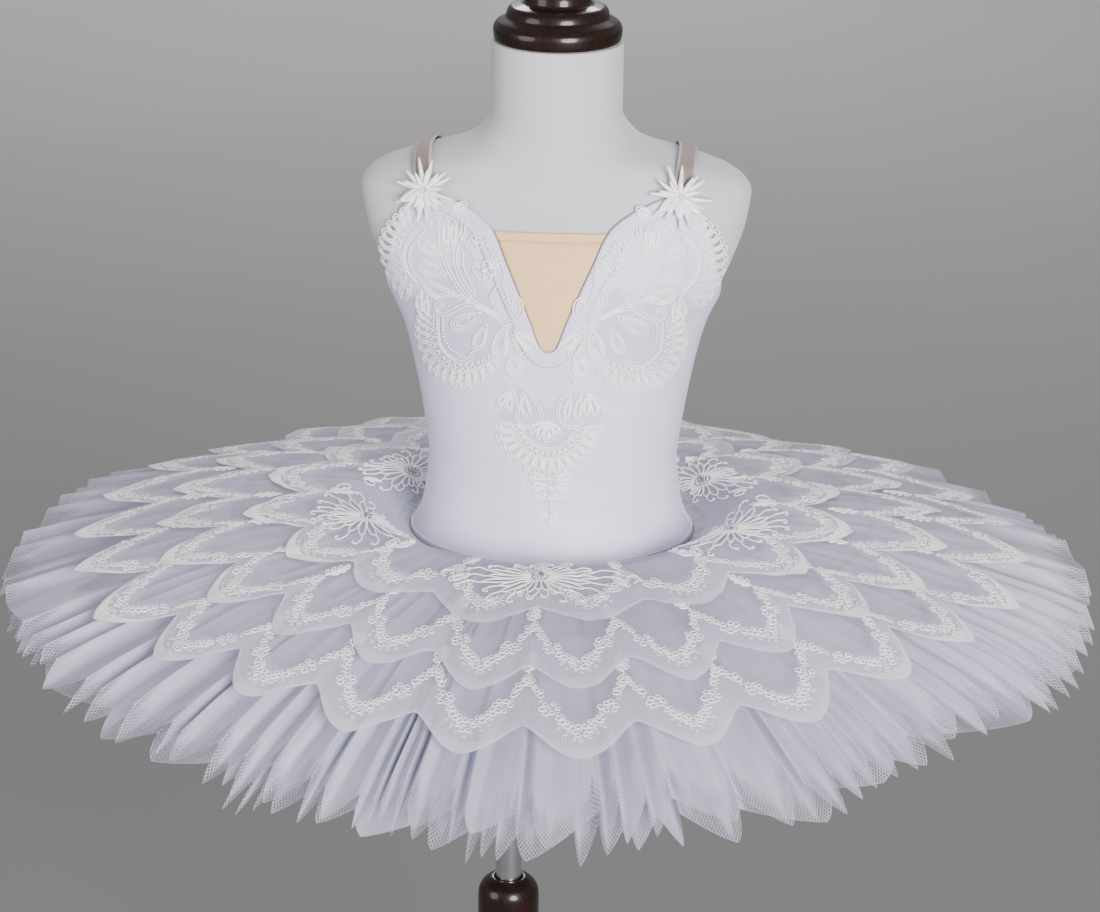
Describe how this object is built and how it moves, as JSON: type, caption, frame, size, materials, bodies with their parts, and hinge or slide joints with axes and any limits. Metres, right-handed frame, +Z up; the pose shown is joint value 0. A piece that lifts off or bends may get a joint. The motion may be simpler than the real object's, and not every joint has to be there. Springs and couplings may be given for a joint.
{
  "type": "ballet tutu on dress form",
  "caption": "Child's pancake tutu in white: stretch bodice with corded lace, stiff pleated net skirt with scalloped lace tiers, worn on a limbless dress form that stands on a round wooden base.",
  "frame": {"origin": "on the floor, on the axis of the stand's post, at the centre of the round base's underside", "axes": "+Z up along the post; the wearer's front looks towards -Y and the wearer's left is +X"},
  "size_m": [0.8051, 0.8052, 1.0636],
  "materials": {
    "white_stretch_satin": "satin, smooth stretch",
    "corded_lace": "raised embroidery on net",
    "stiff_net": "stiff nylon net, half clear",
    "nude_stretch_cloth": "matte stretch",
    "nude_elastic": "woven elastic, soft sheen",
    "white_jersey": "matte jersey over a hard form",
    "dark_wood": "gloss varnish",
    "bronzed_metal": "polished, bronzed",
    "chromed_steel": "polished"
  },
  "bodies": {
    "stand": {"stand_base": "dark_wood", "stand_column": "dark_wood", "clamp_knob": "chromed_steel"},
    "post": {"post": "chromed_steel"},
    "form": {"bodice_back": "white_stretch_satin", "bodice_front": "white_stretch_satin", "brief_back": "white_stretch_satin", "brief_front": "white_stretch_satin", "brief_gusset": "white_stretch_satin", "centre_lace": "corded_lace", "chest_lace_left": "corded_lace", "chest_lace_right": "corded_lace", "dress_form": "white_jersey", "lace_tier_inner": "corded_lace", "lace_tier_middle": "corded_lace", "lace_tier_outer": "corded_lace", "modesty_panel": "nude_stretch_cloth", "neck_binding": "white_stretch_satin", "neck_cap": "dark_wood", "neck_finial": "bronzed_metal", "net_layer_1": "stiff_net", "net_layer_2": "stiff_net", "net_layer_3": "stiff_net", "net_layer_4": "stiff_net", "skirt_flower_1": "corded_lace", "skirt_flower_2": "corded_lace", "skirt_flower_3": "corded_lace", "skirt_flower_4": "corded_lace", "skirt_flower_5": "corded_lace", "skirt_flower_6": "corded_lace", "strap_left": "nude_elastic", "strap_right": "nude_elastic", "strap_star_left": "corded_lace", "strap_star_right": "corded_lace"}
  },
  "joints": [
    {"name": "height_slide", "type": "slide", "parent": "stand", "child": "post", "axis": [0, 0, 1], "range_m": [-0.06, 0.12]},
    {"name": "form_swivel", "type": "hinge", "parent": "post", "child": "form", "pos_m": [0, 0, 0.5], "axis": [0, 0, 1], "continuous": true}
  ]
}
